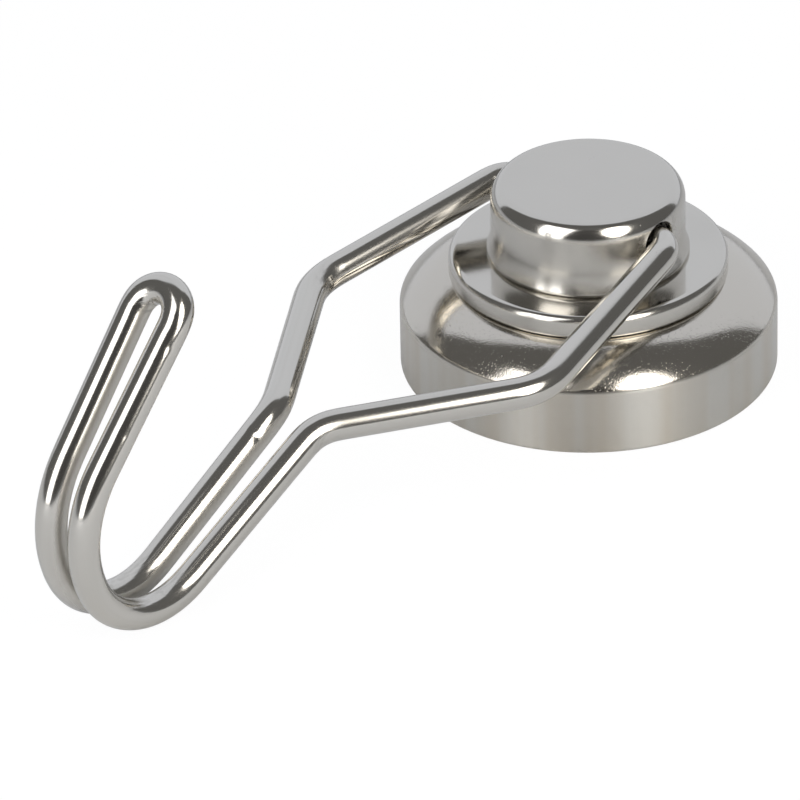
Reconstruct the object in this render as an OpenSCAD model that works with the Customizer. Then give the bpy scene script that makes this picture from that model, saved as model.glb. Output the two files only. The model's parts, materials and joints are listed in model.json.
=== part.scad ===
// Pot magnet with a swivelling cap and a swinging bail hook.
// The magnet's face lies on z = 0, the swivel axis is Z, and the hook swings about X and rests towards -Y.

/* [Pot] */
// Diameter of the pot
pot_d = 36; // [34:0.5:44]
// Height of the straight wall
wall_h = 6.25; // [6:0.05:6.6]
// Radius of the edge between the wall and the crown
edge_r = 1.1; // [0.6:0.1:1.4]
// Slope of the crown where it meets the edge
crown_slope = 48; // [44:1:54]
// Height of the flat land that the swivel sits on
land_h = 9.9; // [9.6:0.05:10.2]
// Thickness of the wall at the rim
rim_t = 2.5; // [2:0.1:4]
// Radius of the rim's outer edge
rim_edge_r = 0.4; // [0.2:0.1:0.8]

/* [Magnet] */
// Width of the resin ring between the magnet disc and the rim
resin_w = 1.5; // [0.8:0.1:3.5]
// Thickness of the magnet disc
magnet_t = 5; // [4:0.1:5.4]
// How far the resin stays below the magnet's face
resin_recess = 0.3; // [0.1:0.1:1]

/* [Swivel] */
// Diameter of the rivet's shank
rivet_d = 5; // [4:0.1:6]
// Diameter of the rivet's head inside the cap
head_d = 10; // [8:0.1:12]
// Thickness of the rivet's head at its middle
head_t = 1.6; // [1:0.1:1.8]
// Thickness of the rivet's head at its edge
head_edge_t = 0.9; // [0.5:0.1:1]
// Diameter of the rivet's foot inside the pot
foot_d = 8; // [7:0.1:9]
// Thickness of the rivet's foot
foot_t = 1.2; // [0.8:0.1:1.6]
// Diameter of the thrust washer under the collar
lower_washer_d = 17; // [13:0.5:20]
// Diameter of the thrust washer on the collar
upper_washer_d = 12; // [11:0.5:14]
// Thickness of both thrust washers
washer_t = 0.45; // [0.3:0.05:0.6]

/* [Collar] */
// Diameter of the collar
collar_d = 26.6; // [24:0.1:30]
// Thickness of the collar
collar_t = 2; // [1.9:0.1:2.6]
// Radius of the collar's edges
collar_edge_r = 0.75; // [0.3:0.05:0.9]
// Height of the spigot that the cap is pressed on
spigot_h = 1.6; // [1:0.1:2]
// Wall of the spigot
spigot_t = 1; // [0.6:0.1:1.4]

/* [Cap] */
// Diameter of the cap
cap_d = 18.5; // [18:0.1:20]
// Height of the cap above the collar
cap_h = 7.3; // [7.2:0.1:8]
// Thickness of the cap's sheet
cap_t = 1.1; // [0.8:0.1:1.3]
// Outer radius of the cap's top edge
cap_edge_r = 1.5; // [0.8:0.1:1.9]
// How far the cap's foot flares out from its wall
flare_w = 0.4; // [0.2:0.05:0.9]
// Radius of the flare's hollow
flare_r = 8; // [5:0.5:10]
// Radius of the rounded foot edge below the flare
bead_r = 0.35; // [0.2:0.05:0.5]
// Height of the cross holes above the collar
pivot_h = 4.25; // [4.1:0.05:4.35]
// Radius of the rounded mouths of the cross holes
mouth_r = 0.5; // [0.45:0.05:0.8]

/* [Hook] */
// Diameter of the wire
wire_d = 3; // [2.6:0.1:3.2]
// How far the ends of the wire stand inside the cap's wall
stub_in = 2.25; // [1.5:0.05:3]
// How far the arms' first bend tucks into the mouths of the holes
root_tuck = 0.3; // [0:0.05:0.3]
// Distance between the arms at the knees
knee_span = 29.4; // [26:0.1:34]
// Gap between the wires at the neck
neck_gap = 2.2; // [1.6:0.1:4]
// Gap between the wires in the J bend
bend_gap = 1.1; // [0.6:0.1:2]
// Gap between the wires at the tip
tip_gap = 1.9; // [1.2:0.1:3]
// Length from the pivot to the knees
arm_l = 22.8; // [20:0.1:28]
// Length from the knees to the neck
shoulder_l = 17.9; // [14:0.1:22]
// Angle by which the shoulders rise from the plane of the arms
shoulder_rise = 7; // [0:0.5:12]
// Length from the neck to the J bend
leg_l = 18.7; // [12:0.1:24]
// Angle by which the legs drop from the plane of the arms
leg_drop = 17.8; // [10:0.1:24]
// Bend radius where the arms leave the cap
root_r = 2.2; // [2:0.1:2.3]
// Bend radius of the knees
knee_r = 6; // [3:0.5:9]
// Bend radius of the neck
neck_r = 5; // [3:0.5:9]
// Radius of the J bend's first part, the heel
heel_r = 9.1; // [7:0.1:12]
// Angle of the heel
heel_angle = 100; // [80:1:110]
// Radius of the J bend's second part, the toe
toe_r = 11.3; // [7:0.1:14]
// Angle of the toe
toe_angle = 58; // [40:1:70]
// Straight length between the heel and the toe
sole_l = 0.5; // [0.3:0.1:3]
// Straight length of the tip
tip_l = 14.9; // [10:0.1:22]

/* [Clearances] */
// Radial clearance of a running fit
run_gap = 0.05; // [0.02:0.01:0.1]
// Radial clearance of a pressed or peened fit
press_gap = 0.01; // [0.01:0.01:0.03]
// Gap between the pot's land and the collar's underside
land_gap = 0.1; // [0.05:0.05:0.2]
// Axial play of the collar under the rivet's head
end_play = 0.1; // [0.05:0.05:0.3]
// Space between the rivet's foot and the magnet
foot_gap = 0.2; // [0.1:0.1:0.4]
// Radial play of the wire in the cross holes
hole_play = 0.3; // [0.25:0.05:0.35]
// How much thicker the wire is in a bend than in a straight run
bend_swell = 0.01; // [0.004:0.002:0.03]
// How far a straight run laps into a bend
bend_lap = 0.05; // [0.02:0.01:0.08]

/* [Hidden] */
$fn = 96;

pot_r = pot_d / 2;
pocket_r = pot_r - rim_t;
magnet_r = pocket_r - resin_w;
foot_top = magnet_t + foot_gap + foot_t;
// The crown runs without a step from the flat land to the edge's arc
edge_c = [pot_r - edge_r, wall_h];
crown_r = edge_r + (land_h - wall_h - edge_r) / (1 - cos(crown_slope));
crown_c = edge_c - (crown_r - edge_r) * [sin(crown_slope), cos(crown_slope)];

collar_z = land_h + land_gap;
collar_top = collar_z + collar_t;
head_z = collar_top + washer_t + end_play;

cap_r = cap_d / 2;
cap_in_r = cap_r - cap_t;
flare_d = cap_d + 2 * flare_w;
pivot_z = collar_top + pivot_h;
hole_d = wire_d + 2 * hole_play;

// Distances between the two sides of the wire, from its ends to the tip
stub_span = 2 * (cap_in_r - stub_in);
root_span = cap_d + wire_d - 2 * root_tuck;
neck_span = wire_d + neck_gap;
bend_span = wire_d + bend_gap;
tip_span = wire_d + tip_gap;

// A direction in the hook's own plane, x out along the arms and y up from them
function aim(angle) = [cos(angle), sin(angle)];
// Corners of the hook in that plane: each bend is a corner rounded by its radius
heel_set = heel_r * tan(heel_angle / 2);
toe_set = toe_r * tan(toe_angle / 2);
knee = [arm_l, 0];
neck = knee + shoulder_l * aim(shoulder_rise);
leg_end = neck + leg_l * aim(-leg_drop);
heel = leg_end + heel_set * aim(-leg_drop);
toe = heel + (heel_set + sole_l + toe_set) * aim(heel_angle - leg_drop);
tip = toe + (toe_set + tip_l) * aim(heel_angle + toe_angle - leg_drop);
// Slope of the arms at which the heel lies on the surface under the magnet
heel_c = leg_end + heel_r * aim(90 - leg_drop);
heel_out_r = heel_r + (wire_d + bend_swell) / 2;
rest_angle = atan2(heel_c.y, heel_c.x) - asin((heel_out_r - pivot_z) / norm(heel_c));

function unit(v) = v / norm(v);
// Distance from corner i of the path p to the ends of its bend of radius r[i]
function setback(p, r, i) =
    r[i] == 0 ? 0 : r[i] * tan(acos(unit(p[i] - p[i - 1]) * unit(p[i + 1] - p[i])) / 2);
// The straight run from corner i of the path p to the next, without the bends at both
function run_of(p, r, i) =
    let (ahead = unit(p[i + 1] - p[i]))
    [p[i] + setback(p, r, i) * ahead, p[i + 1] - setback(p, r, i + 1) * ahead];
// A point of the hook's plane, set off sideways by half a span
function hook_point(span, q) = [span / 2, -q.x, q.y];
function flip(q) = [-q.x, q.y, q.z];
// The same runs on the other side, from the last to the first
function other_side(runs) = [for (i = [len(runs) - 1:-1:0]) [flip(runs[i][1]), flip(runs[i][0])]];

// One straight run of wire, which laps into the bends at its ends
module run(from, to, d, lap) {
    way = to - from;
    length = norm(way);
    translate(from - lap * way / length)
        rotate([0, acos(way.z / length), atan2(way.y, way.x)])
            cylinder(h = length + 2 * lap, d = d);
}

// One bend of wire that leaves the point from along the direction ahead and ends at the point to
module bend(from, ahead, to, d) {
    chord = to - from;
    inward = unit(chord - (chord * ahead) * ahead);
    r = (chord * chord) / (2 * chord * inward);
    centre = from + r * inward;
    side = cross(-inward, ahead);
    multmatrix([
        [-inward.x, ahead.x, side.x, centre.x],
        [-inward.y, ahead.y, side.y, centre.y],
        [-inward.z, ahead.z, side.z, centre.z]])
        rotate_extrude(angle = 2 * atan2(chord * inward, chord * ahead))
            translate([r, 0])
                circle(d = d);
}

// Round wire along a list of straight runs, with a bend from each run to the next
module bent_wire(runs, d) {
    for (i = [0:len(runs) - 1])
        run(runs[i][0], runs[i][1], d, bend_lap);
    for (i = [0:len(runs) - 2])
        bend(runs[i][1], unit(runs[i][1] - runs[i][0]), runs[i + 1][0], d + bend_swell);
}

// Flat ring from z up by t
module ring(r_in, r_out, z, t) {
    rotate_extrude()
        translate([r_in, z])
            square([r_out - r_in, t]);
}

// Section of the pot's outside: straight wall, edge arc, crown arc and flat land
module pot_outline() {
    difference() {
        square([pot_r, wall_h]);
        difference() {
            translate([pot_r - rim_edge_r, 0])
                square(rim_edge_r);
            translate([pot_r - rim_edge_r, rim_edge_r])
                circle(rim_edge_r);
        }
    }
    translate(edge_c)
        circle(edge_r);
    square([crown_c.x, land_h]);
    intersection() {
        translate(crown_c)
            circle(crown_r);
        polygon([
            [crown_c.x, 0],
            [edge_c.x, 0],
            edge_c,
            crown_c + 2 * crown_r * [sin(crown_slope), cos(crown_slope)],
            [crown_c.x, 2 * land_h]]);
    }
}

module steel_cup() {
    color([0.72, 0.71, 0.69])
        rotate_extrude()
            difference() {
                pot_outline();
                square([pocket_r, magnet_t]);
                square([foot_d / 2 + run_gap, foot_top]);
                square([rivet_d / 2 + press_gap, land_h]);
            }
}

module disc_magnet() {
    color([0.55, 0.55, 0.56])
        cylinder(h = magnet_t, r = magnet_r);
}

module resin_ring() {
    color([0.12, 0.12, 0.13])
        ring(magnet_r, pocket_r, resin_recess, magnet_t - resin_recess);
}

// Pin with a domed head above the upper washer and a peened foot in the pot
module swivel_rivet() {
    foot_z = magnet_t + foot_gap;
    dome_rise = head_t - head_edge_t;
    dome_r = (pow(head_d / 2, 2) + pow(dome_rise, 2)) / (2 * dome_rise);
    color([0.62, 0.61, 0.6])
        rotate_extrude() {
            translate([0, foot_z])
                square([foot_d / 2, foot_t]);
            translate([0, foot_z])
                square([rivet_d / 2, head_z - foot_z]);
            intersection() {
                translate([0, head_z])
                    square([head_d / 2, head_t]);
                translate([0, head_z + head_t - dome_r])
                    circle(dome_r);
            }
        }
}

module lower_washer() {
    color([0.3, 0.3, 0.31])
        ring(rivet_d / 2 + run_gap, lower_washer_d / 2, land_h, washer_t);
}

// Round-edged disc with the spigot that carries the cap, recessed below for the lower washer
module collar() {
    color([0.75, 0.74, 0.71])
        rotate_extrude() {
            bore = rivet_d / 2 + run_gap;
            edge_x = collar_d / 2 - collar_edge_r;
            recess_r = lower_washer_d / 2 + run_gap;
            recess_z = land_h + washer_t;
            translate([bore, recess_z])
                square([edge_x - bore, collar_top - recess_z]);
            translate([recess_r, collar_z])
                square([edge_x - recess_r, collar_t]);
            translate([edge_x, collar_z + collar_edge_r])
                square([collar_edge_r, collar_t - 2 * collar_edge_r]);
            for (z = [collar_z + collar_edge_r, collar_top - collar_edge_r])
                translate([edge_x, z])
                    circle(collar_edge_r);
            translate([cap_in_r - press_gap - spigot_t, collar_top])
                square([spigot_t, spigot_h]);
        }
}

module upper_washer() {
    color([0.3, 0.3, 0.31])
        ring(rivet_d / 2 + run_gap, upper_washer_d / 2, collar_top, washer_t);
}

// Section of the cap's sheet: flat top, round edge, straight wall, flare and round foot edge
module cap_section() {
    bead_c = [flare_d / 2 - bead_r, bead_r];
    flare_x = cap_r + flare_r;
    flare_c = [flare_x, bead_r + sqrt(pow(flare_r + bead_r, 2) - pow(flare_x - bead_c.x, 2))];
    difference() {
        union() {
            square([cap_r, cap_h - cap_edge_r]);
            square([cap_r - cap_edge_r, cap_h]);
            translate([cap_r - cap_edge_r, cap_h - cap_edge_r])
                circle(cap_edge_r);
            difference() {
                polygon([[0, 0], [bead_c.x, 0], bead_c, flare_c, [0, flare_c.y]]);
                translate(flare_c)
                    circle(flare_r);
            }
            translate(bead_c)
                circle(bead_r);
        }
        square([cap_in_r, cap_h - cap_t]);
        translate([-cap_r, 0])
            square([cap_r, cap_h]);
    }
}

// Section of a cross hole, along its own axis: bore and rounded mouth
module hole_section() {
    reach = cap_r + cap_t;
    square([hole_d / 2, reach]);
    difference() {
        translate([0, cap_r - mouth_r])
            square([hole_d / 2 + mouth_r, reach - cap_r + mouth_r]);
        translate([hole_d / 2 + mouth_r, cap_r - mouth_r])
            circle(mouth_r);
    }
}

// Drawn cap with two cross holes
module cap() {
    color([0.76, 0.75, 0.72])
        difference() {
            translate([0, 0, collar_top])
                rotate_extrude()
                    cap_section();
            for (side = [-1, 1])
                translate([0, 0, pivot_z])
                    rotate([0, 90 * side, 0])
                        rotate_extrude()
                            hole_section();
        }
}

// Bail hook: stub, arm, shoulder, leg, J bend and tip on each side, bent from one wire
module hook_wire() {
    corners = [
        hook_point(stub_span, [0, 0]),
        hook_point(root_span, [0, 0]),
        hook_point(knee_span, knee),
        hook_point(neck_span, neck),
        hook_point(bend_span, heel),
        hook_point(bend_span, toe),
        hook_point(tip_span, tip)];
    radii = [0, root_r, knee_r, neck_r, heel_r, toe_r, 0];
    half = [for (i = [0:len(corners) - 2]) run_of(corners, radii, i)];
    color([0.78, 0.77, 0.75])
        translate([0, 0, pivot_z])
            rotate([rest_angle, 0, 0])
                bent_wire(concat(half, other_side(half)), wire_d);
}

steel_cup();
disc_magnet();
resin_ring();
swivel_rivet();
lower_washer();
collar();
upper_washer();
cap();
hook_wire();
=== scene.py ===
import json
import math

import bmesh
import bpy
import numpy as np
from mathutils import Matrix, Vector


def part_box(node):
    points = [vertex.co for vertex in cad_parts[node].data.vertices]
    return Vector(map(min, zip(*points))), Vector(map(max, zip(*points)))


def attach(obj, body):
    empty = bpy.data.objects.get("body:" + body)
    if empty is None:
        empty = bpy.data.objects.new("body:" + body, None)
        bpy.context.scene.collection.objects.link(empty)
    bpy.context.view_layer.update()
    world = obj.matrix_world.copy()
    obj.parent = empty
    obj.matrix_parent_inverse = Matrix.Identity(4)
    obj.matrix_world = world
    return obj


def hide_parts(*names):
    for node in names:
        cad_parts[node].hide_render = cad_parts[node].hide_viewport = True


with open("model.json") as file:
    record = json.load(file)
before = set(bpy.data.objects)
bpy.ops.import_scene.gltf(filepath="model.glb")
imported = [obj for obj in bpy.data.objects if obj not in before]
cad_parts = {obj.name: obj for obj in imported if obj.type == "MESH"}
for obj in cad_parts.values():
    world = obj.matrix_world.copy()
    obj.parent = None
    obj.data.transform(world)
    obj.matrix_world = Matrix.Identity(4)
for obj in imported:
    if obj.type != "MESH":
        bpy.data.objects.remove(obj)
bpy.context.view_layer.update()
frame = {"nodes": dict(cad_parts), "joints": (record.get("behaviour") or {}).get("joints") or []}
mm = 0.001
pivotHeight = next(j["pos_m"][2] for j in frame["joints"] if j["name"] == "hook_swing")
print("frame loaded:", ", ".join(sorted(frame["nodes"])))

# camera at the photograph's angle

view = {
    "azimuth": 43.57,        # degrees round from -Y towards +X
    "elevation": 30.97,
    "roll": -1.07,
    "distance": 0.974,       # metres from the aim point
    "aim": (0.00346, -0.02995, 0.010),
    "lens": 470.8,
}


def towards(azimuth, elevation):
    # unit vector from the object to a place round it: azimuth 0 is -Y, 90 is +X
    a, e = math.radians(azimuth), math.radians(elevation)
    return Vector((math.sin(a) * math.cos(e), -math.cos(a) * math.cos(e), math.sin(e)))


def facing(direction, roll=0.0):
    # turns an object's -Z along a direction, with +Y as near up as it goes, then rolls it
    turn = direction.to_track_quat("-Z", "Y").to_matrix()
    return turn @ Matrix.Rotation(math.radians(roll), 3, "Z")


def makeCamera():
    data = bpy.data.cameras.new("camera")
    data.sensor_width = 36
    data.lens = view["lens"]
    data.clip_start, data.clip_end = 0.05, 20
    camera = bpy.data.objects.new("camera", data)
    bpy.context.scene.collection.objects.link(camera)
    back = towards(view["azimuth"], view["elevation"])
    place = Matrix.Translation(Vector(view["aim"]) + back * view["distance"])
    camera.matrix_world = place @ facing(-back, view["roll"]).to_4x4()
    bpy.context.scene.camera = camera


# shader maths

class Field:
    # an output socket that Python expressions can use; each operator adds one Math node
    def __init__(self, tree, socket=None):
        self.tree, self.socket = tree, socket

    def node(self, kind, settings=None, inputs=None, out=0):
        made = self.tree.nodes.new(kind)
        for key, value in (settings or {}).items():
            setattr(made, key, value)
        for key, value in (inputs or {}).items():
            if isinstance(value, Field):
                self.tree.links.new(value.socket, made.inputs[key])
            else:
                made.inputs[key].default_value = value
        return Field(self.tree, made.outputs[out] if made.outputs else None)

    def maths(self, operation, *values):
        return self.node("ShaderNodeMath", {"operation": operation}, dict(enumerate(values)))

    def __add__(self, other):
        return self.maths("ADD", self, other)

    def __sub__(self, other):
        return self.maths("SUBTRACT", self, other)

    def __rsub__(self, other):
        return self.maths("SUBTRACT", other, self)

    def __mul__(self, other):
        return self.maths("MULTIPLY", self, other)

    __radd__, __rmul__ = __add__, __mul__

    def step(self, low, high):
        # 0 below low, 1 above high, smooth between
        return self.node("ShaderNodeMapRange", {"interpolation_type": "SMOOTHSTEP"},
                         {"Value": self, "From Min": low, "From Max": high})

    def band(self, limits):
        # the same, between two limits in millimetres
        return self.step(limits[0] * mm, limits[1] * mm)

    def mix(self, colourA, colourB):
        # this value blends two colours
        return self.node("ShaderNodeMix", {"data_type": "RGBA"}, {"Factor": self, 6: colourA, 7: colourB}, 2)


def newMaterial(name):
    material = bpy.data.materials.new(name)
    material.use_nodes = True
    material.node_tree.nodes.clear()
    return material, Field(material.node_tree)


def rgb(colour, scale=1.0):
    return tuple(c * scale for c in colour) + (1.0,)


# floor, surroundings and soft boxes; azimuths are from the camera's, to its right

studio = {
    "floorHalf": 3.0,
    "floorDrop": 0.05,              # millimetres below the magnet's face
    "floorPaper": (0.74, 0.755, 0.78),
    "floorGlow": 0.03,              # light that comes up through the paper
    "floorWhite": 0.92,             # how far the camera sees the floor burnt out to white
    "white": 1.04,
    "roomLight": (0.140, 0.139, 0.137),
    "frontLight": (0.070, 0.068, 0.067),
    "frontAim": (-4.0, 30.0),       # azimuth and elevation of the dark side of the room, behind the camera
    "frontEdge": (24.0, 33.0),      # degrees from that aim over which it ends
    "backdropLight": (0.755, 0.78, 0.836),
    "backdropDistance": 1.0,
    "backdropWidth": 3.46,
    "backdropHeight": 2.9,
}

softBoxes = {
    "softBoxRight": {"azimuth": 34.5, "elevation": 36.0, "distance": 0.40, "shape": "ELLIPSE", "roll": -9.0,
                     "width": 0.205, "height": 0.39, "power": 0.84, "colour": (1.0, 0.965, 0.905)},
    "softBoxLeft": {"azimuth": -44.0, "elevation": 31.0, "distance": 0.38, "shape": "RECTANGLE", "roll": 0.0,
                    "width": 0.20, "height": 0.42, "power": 0.72, "colour": (1.0, 0.99, 0.98)},
}


def gridFaces(rows, columns, closeRows=False, closeColumns=False):
    # four corners of every cell of a rows by columns grid, closed round on either side
    i = np.arange(rows if closeRows else rows - 1)[:, None]
    j = np.arange(columns if closeColumns else columns - 1)[None, :]
    nextI, nextJ = (i + 1) % rows, (j + 1) % columns
    return np.stack([i * columns + j, nextI * columns + j, nextI * columns + nextJ, i * columns + nextJ],
                    -1).reshape(-1, 4)


def meshObject(name, points, faces):
    mesh = bpy.data.meshes.new(name)
    mesh.from_pydata(points.reshape(-1, 3).tolist(), [], faces.tolist())
    mesh.update()
    made = bpy.data.objects.new(name, mesh)
    bpy.context.scene.collection.objects.link(made)
    return made


def makeFloor():
    half = studio["floorHalf"]
    corners = np.array([(-half, -half, 0), (half, -half, 0), (half, half, 0), (-half, half, 0)])
    floor = meshObject("floor", corners - (0, 0, studio["floorDrop"] * mm), np.arange(4)[None])
    material, start = newMaterial("floorPaper")
    diffuse = start.node("ShaderNodeBsdfDiffuse", None, {"Color": rgb(studio["floorPaper"])})
    glow = start.node("ShaderNodeEmission", None, {"Color": rgb((1, 1, 1)), "Strength": studio["floorGlow"]})
    paper = start.node("ShaderNodeAddShader", None, {0: diffuse, 1: glow})
    white = start.node("ShaderNodeEmission", None, {"Color": rgb((1, 1, 1)), "Strength": studio["white"]})
    burnt = start.node("ShaderNodeMixShader", None, {0: studio["floorWhite"], 1: paper, 2: white})
    ray = start.node("ShaderNodeLightPath", None, None, "Is Camera Ray")
    both = start.node("ShaderNodeMixShader", None, {0: ray, 1: paper, 2: burnt})
    start.node("ShaderNodeOutputMaterial", None, {"Surface": both})
    floor.data.materials.append(material)


def makeWorld():
    world = bpy.data.worlds.new("studio")
    world.use_nodes = True
    world.node_tree.nodes.clear()
    start = Field(world.node_tree)
    ahead = towards(view["azimuth"] + studio["frontAim"][0], studio["frontAim"][1])
    way = start.node("ShaderNodeTexCoord", None, None, "Generated")
    inFront = start.node("ShaderNodeVectorMath", {"operation": "DOT_PRODUCT"}, {0: way, 1: ahead}, "Value")
    near, far = (math.cos(math.radians(edge)) for edge in studio["frontEdge"])
    light = inFront.step(far, near).mix(rgb(studio["roomLight"]), rgb(studio["frontLight"]))
    room = start.node("ShaderNodeBackground", None, {"Color": light, "Strength": 1.0})
    white = start.node("ShaderNodeBackground", None, {"Color": rgb((1, 1, 1)), "Strength": studio["white"]})
    ray = start.node("ShaderNodeLightPath", None, None, "Is Camera Ray")
    both = start.node("ShaderNodeMixShader", None, {0: ray, 1: room, 2: white})
    start.node("ShaderNodeOutputWorld", None, {"Surface": both})
    bpy.context.scene.world = world


def makeBackdrop():
    # an upright card opposite the camera that glows evenly
    back = towards(view["azimuth"] + 180, 0) * studio["backdropDistance"]
    half = towards(view["azimuth"] + 90, 0) * studio["backdropWidth"] / 2
    up = Vector((0, 0, studio["backdropHeight"]))
    corners = np.array([back - half, back + half, back + half + up, back - half + up])
    card = meshObject("backdrop", corners, np.arange(4)[None])
    card.visible_camera = False
    card.visible_shadow = False
    material, start = newMaterial("backdropGlow")
    glow = start.node("ShaderNodeEmission", None, {"Color": rgb(studio["backdropLight"]), "Strength": 1.0})
    start.node("ShaderNodeOutputMaterial", None, {"Surface": glow})
    card.data.materials.append(material)


def makeSoftBoxes():
    for name, box in softBoxes.items():
        data = bpy.data.lights.new(name, "AREA")
        data.shape = box["shape"]
        data.size, data.size_y = box["width"], box["height"]
        data.energy, data.color = box["power"], box["colour"]
        lamp = bpy.data.objects.new(name, data)
        bpy.context.scene.collection.objects.link(lamp)
        out = towards(view["azimuth"] + box["azimuth"], box["elevation"])
        lamp.matrix_world = Matrix.Translation(out * box["distance"]) @ facing(-out, box["roll"]).to_4x4()
        lamp.visible_camera = False


makeCamera()
makeFloor()
makeWorld()
makeBackdrop()
makeSoftBoxes()
bpy.context.scene.view_settings.view_transform = "Standard"
print("stage ready")

# outlines that are turned or swept; an outline is an array of (r, z) in millimetres


def aim(angle):
    # unit vector at an angle from the first axis, in degrees
    return np.array([math.cos(math.radians(angle)), math.sin(math.radians(angle))])


def straight(start, stop, count=14):
    # points from start to stop that close up towards both ends, without the last one
    t = 0.5 - 0.5 * np.cos(np.linspace(0, np.pi, count))[:-1, None]
    return np.asarray(start) + t * (np.asarray(stop) - np.asarray(start))


def arc(centre, radius, start, stop, count=16):
    # points of a circle between two angles from the +r axis, in degrees, without the last one
    a = np.radians(np.linspace(start, stop, count))[:-1]
    return np.asarray(centre) + radius * np.stack([np.cos(a), np.sin(a)], -1)


def closeShell(made, sharpAngle):
    # merges seams and poles, turns the faces outwards and shades them smooth up to an angle
    shell = bmesh.new()
    shell.from_mesh(made.data)
    bmesh.ops.remove_doubles(shell, verts=shell.verts, dist=1e-7)
    bmesh.ops.recalc_face_normals(shell, faces=shell.faces)
    shell.to_mesh(made.data)
    shell.free()
    made.data.shade_smooth()
    made.data.set_sharp_from_angle(angle=math.radians(sharpAngle))


def lathe(name, outline, around=360, sharpAngle=30.0):
    # a closed outline turned about Z: x = r cos u, y = r sin u, z as it is
    u = np.linspace(0, 2 * np.pi, around, endpoint=False)[None, :]
    r, z = outline[:, :1] * mm, outline[:, 1:] * mm
    points = np.stack(np.broadcast_arrays(r * np.cos(u), r * np.sin(u), z), -1)
    made = meshObject(name, points, gridFaces(len(outline), around, True, True))
    closeShell(made, sharpAngle)
    return made


def dress(piece, body, node):
    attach(piece, body)
    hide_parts(node)


# pot: rim, straight wall, edge arc, crown arc and flat land, with the pocket below

pot = {"wallTop": 6.25, "edgeRadius": 1.1, "crownSlope": 48.0, "rimWidth": 2.5, "rimEdge": 0.4,
       "pocketDepth": 5.0, "footRadius": 4.05, "footTop": 6.4, "boreRadius": 2.51}


def makePot():
    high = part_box("steel_cup")[1]
    radius, land = high[0] / mm, high[2] / mm
    edge = np.array([radius - pot["edgeRadius"], pot["wallTop"]])
    slope = math.radians(pot["crownSlope"])
    reach = (land - pot["wallTop"] - pot["edgeRadius"]) / (1 - math.cos(slope))
    crown = edge - reach * np.array([math.sin(slope), math.cos(slope)])
    pocket = radius - pot["rimWidth"]
    outline = np.concatenate([
        straight((pot["boreRadius"], land), (crown[0], land)),
        arc(crown, reach + pot["edgeRadius"], 90, 90 - pot["crownSlope"], 40),
        arc(edge, pot["edgeRadius"], 90 - pot["crownSlope"], 0, 16),
        straight(edge + (pot["edgeRadius"], 0), (radius, pot["rimEdge"])),
        arc((radius - pot["rimEdge"], pot["rimEdge"]), pot["rimEdge"], 0, -90, 9),
        straight((radius - pot["rimEdge"], 0), (pocket, 0), 8),
        straight((pocket, 0), (pocket, pot["pocketDepth"]), 6),
        straight((pocket, pot["pocketDepth"]), (pot["footRadius"], pot["pocketDepth"]), 6),
        straight((pot["footRadius"], pot["pocketDepth"]), (pot["footRadius"], pot["footTop"]), 4),
        straight((pot["footRadius"], pot["footTop"]), (pot["boreRadius"], pot["footTop"]), 4),
        straight((pot["boreRadius"], pot["footTop"]), (pot["boreRadius"], land), 4)])
    made = lathe("pot", outline)
    dress(made, "base", "steel_cup")
    return made


# collar: round-edged disc, a lip that follows the crown, the cap's spigot above and the washer's recess below

collar = {"thickness": 2.0, "edgeRadius": 0.75, "lipRadius": 0.28, "lipDrop": 0.2, "lipStart": 11.4,
          "boreRadius": 2.55, "spigotOuter": 8.14, "spigotInner": 7.14, "recessRadius": 8.55,
          "recessDepth": 0.35}


def makeCollar():
    low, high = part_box("collar")
    radius, bottom, spigotTop = high[0] / mm, low[2] / mm, high[2] / mm
    top = bottom + collar["thickness"]
    e, ceiling = collar["edgeRadius"], bottom + collar["recessDepth"]
    lip, under = collar["lipRadius"], bottom - collar["lipDrop"]
    outline = np.concatenate([
        straight((collar["boreRadius"], top), (collar["spigotInner"], top), 6),
        straight((collar["spigotInner"], top), (collar["spigotInner"], spigotTop), 4),
        straight((collar["spigotInner"], spigotTop), (collar["spigotOuter"], spigotTop), 4),
        straight((collar["spigotOuter"], spigotTop), (collar["spigotOuter"], top), 4),
        straight((collar["spigotOuter"], top), (radius - e, top)),
        arc((radius - e, top - e), e, 90, 0, 20),
        straight((radius, top - e), (radius, under + lip), 8),
        arc((radius - lip, under + lip), lip, 0, -90, 20),
        straight((radius - lip, under), (collar["lipStart"], bottom), 8),
        straight((collar["lipStart"], bottom), (collar["recessRadius"], bottom), 6),
        straight((collar["recessRadius"], bottom), (collar["recessRadius"], ceiling), 4),
        straight((collar["recessRadius"], ceiling), (collar["boreRadius"], ceiling), 6),
        straight((collar["boreRadius"], ceiling), (collar["boreRadius"], top), 4)])
    made = lathe("collar_disc", outline)
    dress(made, "swivel_head", "collar")
    return made


# cap: drawn drum with a rounded top edge, a flared foot and two cross holes with rounded mouths

cap = {"radius": 9.25, "sheet": 1.1, "edgeRadius": 1.07, "shoulderRadius": 2.0, "edgeSlope": 47.0,
       "flareRadius": 5.0, "beadRadius": 0.35, "holeRadius": 1.8, "mouthRadius": 0.5}


def holeCutter(side):
    # a bore that opens out at the wall on a convex quarter arc, turned about the pivot's axis
    hole, mouth, out = cap["holeRadius"], cap["mouthRadius"], cap["radius"] + cap["sheet"]
    outline = np.concatenate([
        straight((0, 0), (hole, 0), 3),
        straight((hole, 0), (hole, cap["radius"] - mouth), 8),
        arc((hole + mouth, cap["radius"] - mouth), mouth, 180, 90, 14),
        straight((hole + mouth, cap["radius"]), (hole + mouth, out), 3),
        straight((hole + mouth, out), (0, out), 3),
        [(0, out)]])
    cutter = lathe("cutter", outline, 160)
    turn = Matrix.Rotation(math.radians(90 * side), 4, "Y")
    cutter.data.transform(Matrix.Translation((0, 0, pivotHeight)) @ turn)
    return cutter


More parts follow.
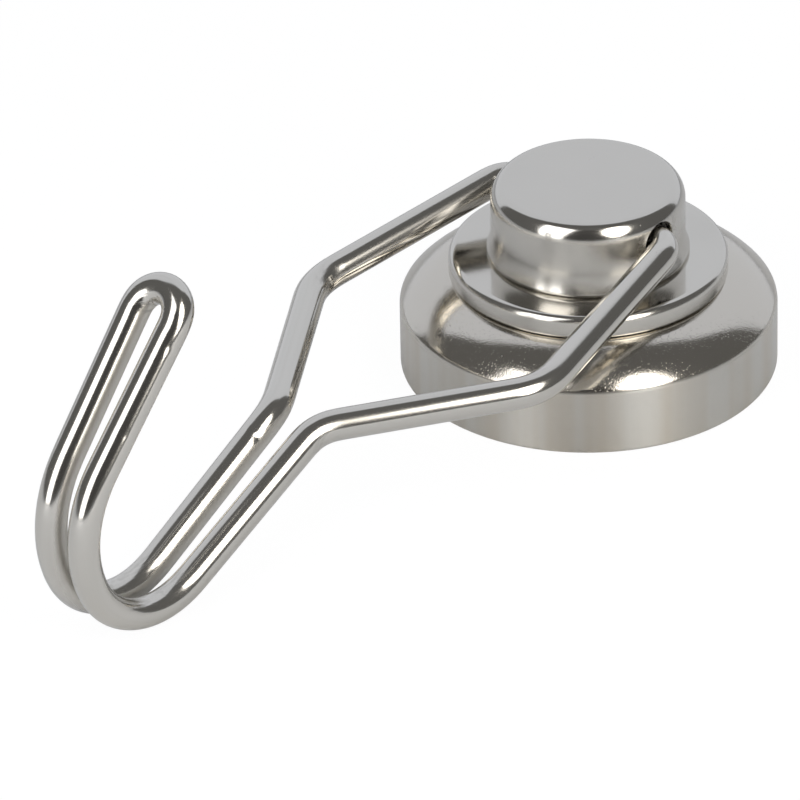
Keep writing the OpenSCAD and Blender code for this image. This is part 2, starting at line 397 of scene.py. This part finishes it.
def makeCap():
    low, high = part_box("cap")
    bottom, top, foot = low[2] / mm, high[2] / mm, high[0] / mm
    radius, inside = cap["radius"], cap["radius"] - cap["sheet"]
    e, shoulder, slope = cap["edgeRadius"], cap["shoulderRadius"], cap["edgeSlope"]
    edgeAt = np.array([radius - shoulder, top - e]) + (shoulder - e) * aim(slope) * (1, 0)
    shoulderAt = np.array([radius - shoulder, top - e - (shoulder - e) * math.sin(math.radians(slope))])
    flare, bead = cap["flareRadius"], cap["beadRadius"]
    beadAt = np.array([foot - bead, bottom + bead])
    across = radius + flare - beadAt[0]
    rise = math.sqrt((flare + bead) ** 2 - across ** 2)         # the flare's centre above the bead's
    swing = math.degrees(math.atan2(rise, across))
    flareTop = beadAt[1] + rise
    outline = np.concatenate([
        straight((0, top), (edgeAt[0], top)),
        arc(edgeAt, e, 90, slope, 18),
        arc(shoulderAt, shoulder, slope, 0, 22),
        straight((radius, shoulderAt[1]), (radius, flareTop), 24),
        arc((radius + flare, flareTop), flare, 180, 180 + swing, 20),
        arc(beadAt, bead, swing, -90, 24),
        straight((beadAt[0], bottom), (inside, bottom), 6),
        straight((inside, bottom), (inside, top - cap["sheet"]), 10),
        straight((inside, top - cap["sheet"]), (0, top - cap["sheet"]), 6),
        [(0, top - cap["sheet"])]])
    made = lathe("cap_drum", outline, 400)
    for side in (-1, 1):
        cutter = holeCutter(side)
        cut = made.modifiers.new("hole", "BOOLEAN")
        cut.operation, cut.solver, cut.object = "DIFFERENCE", "EXACT", cutter
        bpy.context.view_layer.objects.active = made
        bpy.ops.object.modifier_apply(modifier=cut.name)
        bpy.data.objects.remove(cutter)
    made.data.set_sharp_from_angle(angle=math.radians(30))
    dress(made, "swivel_head", "cap")
    return made


# hook: one wire from a stub in the cap by arm, knee, shoulder, neck, leg, heel and toe to the tip, and back

hook = {"wire": 3.0, "stubHalf": 5.9, "rootHalf": 10.45, "kneeHalf": 14.7, "neckHalf": 2.6, "bendHalf": 2.05,
        "tipHalf": 2.45, "arm": 22.8, "shoulder": 17.9, "shoulderRise": 7.0, "leg": 18.7, "legDrop": 17.8,
        "rootBend": 2.2, "kneeBend": 6.0, "neckBend": 5.0, "heelBend": 9.1, "heelAngle": 100.0,
        "toeBend": 11.3, "toeAngle": 58.0, "sole": 0.5, "tip": 14.9, "endRound": 0.4,
        "spacing": 0.32, "springBack": 0.6, "around": 112, "pinchScale": 3.0, "closeHalf": (3.0, 3.6),
        "closeTilt": 0.3, "freeAngle": -29.0}

# tool marks on the wire: millimetres along it, degrees round it, length, width and depth in millimetres
nicks = [(175.0, -140.0, 0.42, 0.95, 0.12), (107.5, 34.0, 0.55, 0.50, 0.04), (98.7, 45.0, 0.40, 0.40, 0.02),
         (200.6, -151.0, 1.30, 0.70, 0.10)]


def unit(v):
    return v / np.linalg.norm(v)


def bendPoints(start, ahead, stop, spacing):
    # a circle that leaves start along ahead and passes through stop
    chord = stop - start
    inward = unit(chord - (chord @ ahead) * ahead)
    radius = chord @ chord / (2 * chord @ inward)
    angle = 2 * math.atan2(chord @ inward, chord @ ahead)
    t = np.linspace(0, angle, max(8, int(radius * angle / spacing)))[1:-1, None]
    return start + radius * (np.sin(t) * ahead + (1 - np.cos(t)) * inward)


def evenRoute(points, spacing, soften):
    # the same route at even steps, its curvature eased by a Gaussian mean of the places along it
    length = np.append(0, np.cumsum(np.linalg.norm(np.diff(points, axis=0), axis=1)))
    at = np.linspace(0, length[-1], int(length[-1] / spacing))
    reach = int(3 * soften / spacing)
    weight = np.exp(-0.5 * (np.arange(-reach, reach + 1) * spacing / soften) ** 2)
    even = [np.interp(at, length, column) for column in points.T]
    eased = [np.convolve(np.pad(column, reach, "reflect", reflect_type="odd"), weight / weight.sum(), "valid")
             for column in even]
    return np.stack(eased, -1)


def hookRoute():
    # corners of one side, each rounded by its bend, then the same mirrored in x, back to the other stub
    h = hook
    heelSet = h["heelBend"] * math.tan(math.radians(h["heelAngle"] / 2))
    toeSet = h["toeBend"] * math.tan(math.radians(h["toeAngle"] / 2))
    knee = np.array([h["arm"], 0])
    neck = knee + h["shoulder"] * aim(h["shoulderRise"])
    legEnd = neck + h["leg"] * aim(-h["legDrop"])
    heel = legEnd + heelSet * aim(-h["legDrop"])
    toe = heel + (heelSet + h["sole"] + toeSet) * aim(h["heelAngle"] - h["legDrop"])
    tip = toe + (toeSet + h["tip"]) * aim(h["heelAngle"] + h["toeAngle"] - h["legDrop"])
    root = np.zeros(2)
    plane = np.array([root, root, knee, neck, heel, toe, tip])
    halves = [h[name + "Half"] for name in ("stub", "root", "knee", "neck", "bend", "bend", "tip")]
    bends = [0, h["rootBend"], h["kneeBend"], h["neckBend"], h["heelBend"], h["toeBend"], 0]
    corners = np.column_stack([halves, -plane[:, 0], plane[:, 1]])
    ways = np.diff(corners, axis=0)
    ways /= np.linalg.norm(ways, axis=1)[:, None]
    side, spacing = [], h["spacing"]
    for i, way in enumerate(ways):
        turns = [math.acos(np.clip(ways[k - 1] @ ways[k], -1, 1)) if 0 < k < len(ways) else 0
                 for k in (i, i + 1)]
        start = corners[i] + way * bends[i] * math.tan(turns[0] / 2)
        stop = corners[i + 1] - way * bends[i + 1] * math.tan(turns[1] / 2)
        if side:
            side.append(bendPoints(side[-1][-1], ways[i - 1], start, spacing))
        side.append(np.linspace(start, stop, max(4, int(np.linalg.norm(stop - start) / (3 * spacing)))))
    side = np.concatenate(side)
    mirrored = side[::-1] * (-1, 1, 1)
    tipBend = bendPoints(side[-1], ways[-1], mirrored[0], spacing)
    heelCentre = legEnd + h["heelBend"] * aim(90 - h["legDrop"])
    heelOut = h["heelBend"] + h["wire"] / 2
    rest = math.atan2(heelCentre[1], heelCentre[0]) - math.asin(
        (heelOut - pivotHeight / mm) / np.linalg.norm(heelCentre))
    turn = np.array(Matrix.Rotation(rest, 3, "X"))
    free = turn @ np.array([0, *(aim(h["freeAngle"]) * (-1, 1))])       # no stretch of the wire runs this way
    route = evenRoute(np.concatenate([side, tipBend, mirrored]), h["spacing"], h["springBack"])
    return route @ turn.T + (0, 0, pivotHeight / mm), free


def addAttribute(made, name, kind, slot, values):
    made.data.attributes.new(name, kind, "POINT").data.foreach_set(slot, values.ravel().astype(np.float32))


def makeHook():
    # a circle carried along the route: centre(v) + radius(u, v) (cos u side(v) + sin u up(v)), closed at both
    # ends; each nick takes a bell-shaped depth off the radius
    route, free = hookRoute()
    along = np.gradient(route, axis=0)
    along /= np.linalg.norm(along, axis=1)[:, None]
    radius = np.full(len(route), hook["wire"] / 2)
    endRows = hook["endRound"] * (1 - np.cos(np.linspace(0, np.pi / 2, 8)))[:, None]
    ease = np.sqrt(np.maximum(0, 1 - (1 - endRows[:, 0] / hook["endRound"]) ** 2))
    endRadius = hook["wire"] / 2 - hook["endRound"] * (1 - ease)
    first = route[0] + endRows * along[0]
    last = route[-1] - endRows[::-1] * along[-1]
    route = np.concatenate([route[:1], first, route[1:-1], last, route[-1:]])
    along = np.concatenate([along[:1].repeat(9, 0), along[1:-1], along[-1:].repeat(9, 0)])
    radius = np.concatenate([[0], endRadius, radius[1:-1], endRadius[::-1], [0]])[:, None, None]
    side = np.cross(along, free)
    side /= np.linalg.norm(side, axis=1)[:, None]
    up = np.cross(side, along)
    u = np.linspace(0, 2 * np.pi, hook["around"], endpoint=False)[None, :, None]
    step = np.append(0, np.linalg.norm(np.diff(route, axis=0), axis=1))
    far = np.broadcast_to(np.cumsum(step)[:, None, None], radius.shape[:1] + (hook["around"], 1))
    for at, turn, length, width, depth in nicks:
        offset = (u - math.radians(turn) + np.pi) % (2 * np.pi) - np.pi
        around = offset * hook["wire"] / 2
        radius = radius - depth * np.exp(-((far - at) / length) ** 2 - (around / width) ** 2)
    out = np.cos(u) * side[:, None] + np.sin(u) * up[:, None]
    points = route[:, None] + radius * out
    made = meshObject("hook_bail", points * mm, gridFaces(len(route), hook["around"], False, True))
    straightened = np.concatenate([radius * np.cos(u), radius * np.sin(u), far], -1) * mm
    addAttribute(made, "straightened", "FLOAT_VECTOR", "vector", straightened)
    curve = np.gradient(along, axis=0) / np.maximum(np.gradient(np.cumsum(step)), 0.05)[:, None]
    inside = ((points - route[:, None]) * curve[:, None]).sum(-1) * hook["pinchScale"]
    addAttribute(made, "pinch", "FLOAT", "value", np.clip(inside, 0, 1))
    near, apart = hook["closeHalf"]
    close = np.clip((apart - np.abs(route[:, :1])) / (apart - near), 0, 1)
    inward = -np.sign(route[:, :1]) * out[..., 0]
    between = close * (inward - hook["closeTilt"] * out[..., 2])        # where one leg faces the other
    addAttribute(made, "between", "FLOAT", "value", np.clip(between, 0, 1))
    closeShell(made, 40)
    dress(made, "hook", "hook_wire")
    return made


shapes = {"pot": makePot(), "collar_disc": makeCollar(), "cap_drum": makeCap(), "hook_bail": makeHook()}
for name, piece in shapes.items():
    print(name, len(piece.data.polygons), "faces")

# finishes

nickel = (0.62, 0.60, 0.56)      # what bright nickel plate gives back


def noise(place, scale, detail=2.0, stretch=(1, 1, 1)):
    # smooth noise from 0 to 1 with features 1 / scale metres across, drawn out where stretch is small
    drawn = place.node("ShaderNodeVectorMath", {"operation": "MULTIPLY"}, {0: place, 1: stretch})
    return place.node("ShaderNodeTexNoise", None, {"Vector": drawn, "Scale": scale, "Detail": detail})


def specks(place, scale, size, share):
    # round marks about the centres of some cells: size is in cells, share is how many carry one
    cells = {"Vector": place, "Scale": scale}
    near = place.node("ShaderNodeTexVoronoi", None, cells, "Distance")
    draw = place.node("ShaderNodeTexVoronoi", None, cells, "Color")
    pick = place.node("ShaderNodeSeparateColor", None, {0: draw}, 0)
    return (1 - near.step(0.5 * size, size)) * pick.step(1 - share, 1.01 - share)


def distance(place, centre, keep):
    # length of the way from a centre, along the kept axes only
    way = place.node("ShaderNodeVectorMath", {"operation": "SUBTRACT"}, {0: place, 1: centre})
    flat = place.node("ShaderNodeVectorMath", {"operation": "MULTIPLY"}, {0: way, 1: keep})
    return place.node("ShaderNodeVectorMath", {"operation": "LENGTH"}, {0: flat}, "Value")


def axis(place, letter):
    return place.node("ShaderNodeSeparateXYZ", None, {0: place}, letter)


def surface(piece, material, colour, rough, height, depth, metallic=1.0, wall=None):
    # the shader, with its bump: depth is how many metres a height of 1 stands for; a wall is a place, a
    # roughness and how strongly it was brushed round Z, which draws reflections out upright
    start = Field(material.node_tree)
    bump = start.node("ShaderNodeBump", None, {"Strength": 1.0, "Distance": depth, "Height": height})
    look = {"Base Color": colour, "Metallic": metallic, "Roughness": rough, "Normal": bump}
    skin = start.node("ShaderNodeBsdfPrincipled", None, look)
    if wall:
        where, wallRough, brushed = wall
        satin = start.node("ShaderNodeBsdfPrincipled", None, {
            **look, "Roughness": wallRough, "Anisotropic": brushed, "Anisotropic Rotation": 0.25})
        skin = start.node("ShaderNodeMixShader", None, {0: where, 1: skin, 2: satin})
    start.node("ShaderNodeOutputMaterial", None, {"Surface": skin})
    piece.data.materials.clear()
    piece.data.materials.append(material)


def turnedPlace(place):
    # distance from the swivel's axis and height, for marks that run round it
    return place.node("ShaderNodeCombineXYZ", None, {
        "X": distance(place, (0, 0, 0), (1, 1, 0)), "Z": axis(place, "Z")})


def objectPlace(name):
    material, start = newMaterial(name)
    return material, start.node("ShaderNodeTexCoord", None, None, "Object")


# pot: satin drawn wall with upright bands, polished crown with a fine grain and pips, worn rim and edge

potSkin = {"wall": (6.3, 6.9), "wallRough": 0.36, "brushed": 0.80, "crownRough": 0.115,
           "crown": (0.603, 0.572, 0.518), "warm": (0.635, 0.595, 0.530), "cool": (0.680, 0.665, 0.625),
           "bands": 260.0, "streaks": 2600.0, "peel": 650.0, "grain": 5600.0, "wear": 900.0,
           "dust": (1500.0, 0.14, 0.05), "pips": (3500.0, 0.30, 0.8), "rim": (0.2, 0.7),
           "edgeWear": (17.2, 17.8), "depth": 6e-6}


def finishPot(piece):
    s = potSkin
    material, place = objectPlace("potPlate")
    up, out = axis(place, "Z"), distance(place, (0, 0, 0), (1, 1, 0))
    wall = 1 - up.band(s["wall"])
    bands = noise(place, s["bands"], 2.0, (1, 1, 0.03))
    streaks = noise(place, s["streaks"], 3.0, (1, 1, 0.03))
    grain = noise(place, s["grain"], 2.0)
    peel = noise(place, s["peel"], 1.0)
    dust = specks(place, *s["dust"])
    pips = specks(place, *s["pips"])
    rim = 1 - up.band(s["rim"])
    worn = noise(place, s["wear"], 4.0).step(0.5, 0.72) * (
        rim + wall * 0.12 + out.band(s["edgeWear"]) * (1 - wall) * 0.5)
    tone = wall.mix(rgb(s["crown"]), bands.step(0.36, 0.64).mix(rgb(s["cool"]), rgb(s["warm"])))
    tone = (dust * 0.15 + worn * 0.18).mix(tone, rgb(nickel, 0.45))
    rough = s["crownRough"] + grain * 0.02 + dust * 0.2 + worn * 0.2
    satin = s["wallRough"] + streaks * 0.08 + worn * 0.1
    crown = grain * 1.3 + peel + pips * 0.8
    height = (1 - wall) * crown + wall * (streaks * 0.9 + grain * 0.3) - dust * 0.2
    surface(piece, material, tone, rough, height, s["depth"], 1.0, (wall, satin, s["brushed"]))


# collar: polished disc with the faintest turning lines, a few handling marks and a satin side

collarSkin = {"rough": 0.10, "wall": (12.95, 13.2), "wallRough": 0.20, "brushed": 0.75, "lines": 5200.0,
              "peel": 800.0, "dust": (1100.0, 0.12, 0.10), "smear": 120.0, "depth": 2.2e-6}


def finishCollar(piece):
    s = collarSkin
    material, place = objectPlace("collarPlate")
    wall = distance(place, (0, 0, 0), (1, 1, 0)).band(s["wall"])
    lines = noise(turnedPlace(place), s["lines"], 2.0)
    peel = noise(place, s["peel"], 2.0)
    dust = specks(place, *s["dust"])
    smear = noise(place, s["smear"], 3.0).step(0.45, 0.75)
    tone = (dust * 0.4 + smear * 0.06).mix(rgb(nickel), rgb(nickel, 0.5))
    rough = s["rough"] + lines * 0.03 + smear * 0.035 + dust * 0.2
    satin = s["wallRough"] + smear * 0.03 + dust * 0.1
    height = lines * 0.5 + peel * 1.6 - dust
    surface(piece, material, tone, rough, height, s["depth"], 1.0, (wall, satin, s["brushed"]))


# cap: plate over drawn sheet, soft mottling on top and scuffs round the holes where the wire rubs

capSkin = {"rough": 0.12, "wall": (9.1, 9.24), "wallRough": 0.21, "brushed": 0.75, "mottle": 150.0,
           "draw": 2200.0, "peel": 900.0, "grain": 4500.0, "dust": (1500.0, 0.14, 0.08), "rub": (2.1, 3.4),
           "scuff": 1500.0, "inside": (8.5, 8.7), "ceiling": (18.3, 18.6), "dull": (0.36, 0.355, 0.35),
           "depth": 4e-6}


def finishCap(piece):
    s = capSkin
    material, place = objectPlace("capPlate")
    out = distance(place, (0, 0, 0), (1, 1, 0))
    wall = out.band(s["wall"])
    rub = 1 - distance(place, (0, 0, pivotHeight), (0, 1, 1)).band(s["rub"])
    scuff = noise(place, s["scuff"], 4.0).step(0.42, 0.68) * rub * wall
    mottle = noise(place, s["mottle"], 3.0)
    draw = noise(place, s["draw"], 3.0, (1, 1, 0.03))
    peel = noise(place, s["peel"], 2.0)
    grain = noise(place, s["grain"], 2.0)
    dust = specks(place, *s["dust"])
    inside = (1 - out.band(s["inside"])) * (1 - axis(place, "Z").band(s["ceiling"]))
    tone = (mottle * 0.10 + dust * 0.15 + scuff * 0.3).mix(rgb(nickel, 1.01), rgb(nickel, 0.6))
    tone = inside.mix(tone, rgb(s["dull"]))
    rough = s["rough"] + mottle * 0.03 + dust * 0.15 + scuff * 0.12 + inside * 0.4
    satin = s["wallRough"] + draw * 0.06 + scuff * 0.1
    height = peel * 1.1 + grain * 0.35 + wall * draw * 0.7 - dust * 0.5 - scuff * 0.8
    surface(piece, material, tone, rough, height, s["depth"], 1 - inside * 0.8, (wall, satin, s["brushed"]))


# wire: bright drawn wire with fine lines along it, small spots, scuffs pressed inside the bends, and thinner,
# duller plate where the two legs face each other

wireSkin = {"rough": 0.105, "draw": 2600.0, "streaks": 1400.0, "long": 0.012, "wave": 160.0, "press": 1900.0,
            "spots": (420.0, 0.11, 0.07), "dust": (1300.0, 0.12, 0.08), "dull": 0.30,
            "dullFrom": (0.66, 0.92), "depth": 2.5e-6}


def finishWire(piece):
    s = wireSkin
    material, start = newMaterial("wirePlate")
    place = start.node("ShaderNodeAttribute", {"attribute_name": "straightened"}, None, "Vector")
    pinch = start.node("ShaderNodeAttribute", {"attribute_name": "pinch"}, None, "Fac")
    between = start.node("ShaderNodeAttribute", {"attribute_name": "between"}, None, "Fac")
    lines = noise(place, s["draw"], 1.0, (1, 1, s["long"]))
    streaks = noise(place, s["streaks"], 1.0, (1, 1, s["long"])).step(0.35, 0.7)
    wave = noise(place, s["wave"], 2.0, (1, 1, 0.4))
    spots = specks(place, *s["spots"])
    dust = specks(place, *s["dust"])
    press = noise(place, s["press"], 3.0, (1, 1, 0.35)).step(0.46, 0.66) * pinch
    tone = (dust * 0.15 + spots * 0.3 + press * 0.3 + wave * 0.05 + streaks * 0.07).mix(
        rgb(nickel, 1.05), rgb(nickel, 0.45))
    worn = dust * 0.15 + spots * 0.15 + press * 0.2 + between.step(*s["dullFrom"]) * s["dull"]
    rough = s["rough"] + lines * 0.03 + streaks * 0.03 + wave * 0.02 + worn
    height = lines * 0.25 + streaks * 0.8 + wave * 4.0 - spots * 8.0 - dust * 1.0 - press * 5.0
    surface(piece, material, tone, rough, height, s["depth"])


# inside: dull magnet with rubbed scratches, cast resin with bubbles, turned rivet, pressed fibre washers

magnetSkin = {"plate": (0.53, 0.525, 0.515), "rough": 0.27, "scratches": 2400.0, "rubbed": (14.0, 15.2),
              "chips": 800.0, "mottle": 220.0, "depth": 8e-6}
resinSkin = {"cast": (0.030, 0.030, 0.033), "bloom": (0.075, 0.075, 0.08), "rough": 0.34, "cloud": 420.0,
             "bubbles": (1300.0, 0.24, 0.18), "depth": 4e-5}
rivetSkin = {"steel": (0.55, 0.54, 0.525), "rough": 0.26, "lines": 4200.0, "stain": 600.0, "depth": 6e-6}
washerSkin = {"fibre": (0.060, 0.058, 0.056), "lint": (0.15, 0.146, 0.14), "rough": 0.62, "strands": 3000.0,
              "cloud": 500.0, "depth": 2.5e-5}


def finishMagnet(piece):
    s = magnetSkin
    material, place = objectPlace("magnetPlate")
    scratches = 0.5 * noise(place, s["scratches"], 3.0, (1, 0.04, 1)) + 0.5 * noise(
        place, s["scratches"], 3.0, (0.05, 1, 1))
    rubbed = distance(place, (0, 0, 0), (1, 1, 0)).band(s["rubbed"])
    chips = noise(place, s["chips"], 4.0).step(0.56, 0.66) * rubbed
    mottle = noise(place, s["mottle"], 3.0)
    tone = (chips * 0.7 + mottle * 0.2).mix(rgb(s["plate"]), rgb(s["plate"], 0.5))
    rough = s["rough"] + scratches * 0.14 + chips * 0.25
    surface(piece, material, tone, rough, scratches - chips * 3.0, s["depth"])


def finishResin(piece):
    s = resinSkin
    material, place = objectPlace("castResin")
    bubbles = specks(place, *s["bubbles"])
    cloud = noise(place, s["cloud"], 4.0)
    tone = cloud.step(0.4, 0.75).mix(rgb(s["cast"]), rgb(s["bloom"]))
    rough = s["rough"] + cloud * 0.22 + bubbles * 0.2
    surface(piece, material, tone, rough, cloud * 0.5 - bubbles, s["depth"], 0.0)


def finishRivet(piece):
    s = rivetSkin
    material, place = objectPlace("rivetSteel")
    lines = noise(turnedPlace(place), s["lines"], 3.0)
    stain = noise(place, s["stain"], 4.0)
    tone = stain.step(0.5, 0.8).mix(rgb(s["steel"]), rgb(s["steel"], 0.62))
    rough = s["rough"] + lines * 0.12 + stain * 0.1
    surface(piece, material, tone, rough, lines + stain * 0.6, s["depth"])


def finishWasher(piece):
    s = washerSkin
    material, place = objectPlace(piece.name + "Fibre")
    strands = noise(place, s["strands"], 4.0, (1, 0.2, 1))
    cloud = noise(place, s["cloud"], 3.0)
    tone = (strands.step(0.42, 0.72) * cloud).mix(rgb(s["fibre"]), rgb(s["lint"]))
    rough = s["rough"] + strands * 0.2
    surface(piece, material, tone, rough, strands, s["depth"], 0.0)


finishPot(shapes["pot"])
finishCollar(shapes["collar_disc"])
finishCap(shapes["cap_drum"])
finishWire(shapes["hook_bail"])
finishMagnet(frame["nodes"]["disc_magnet"])
finishResin(frame["nodes"]["resin_ring"])
finishRivet(frame["nodes"]["swivel_rivet"])
for washer in ("lower_washer", "upper_washer"):
    finishWasher(frame["nodes"][washer])
print("finishes ready")
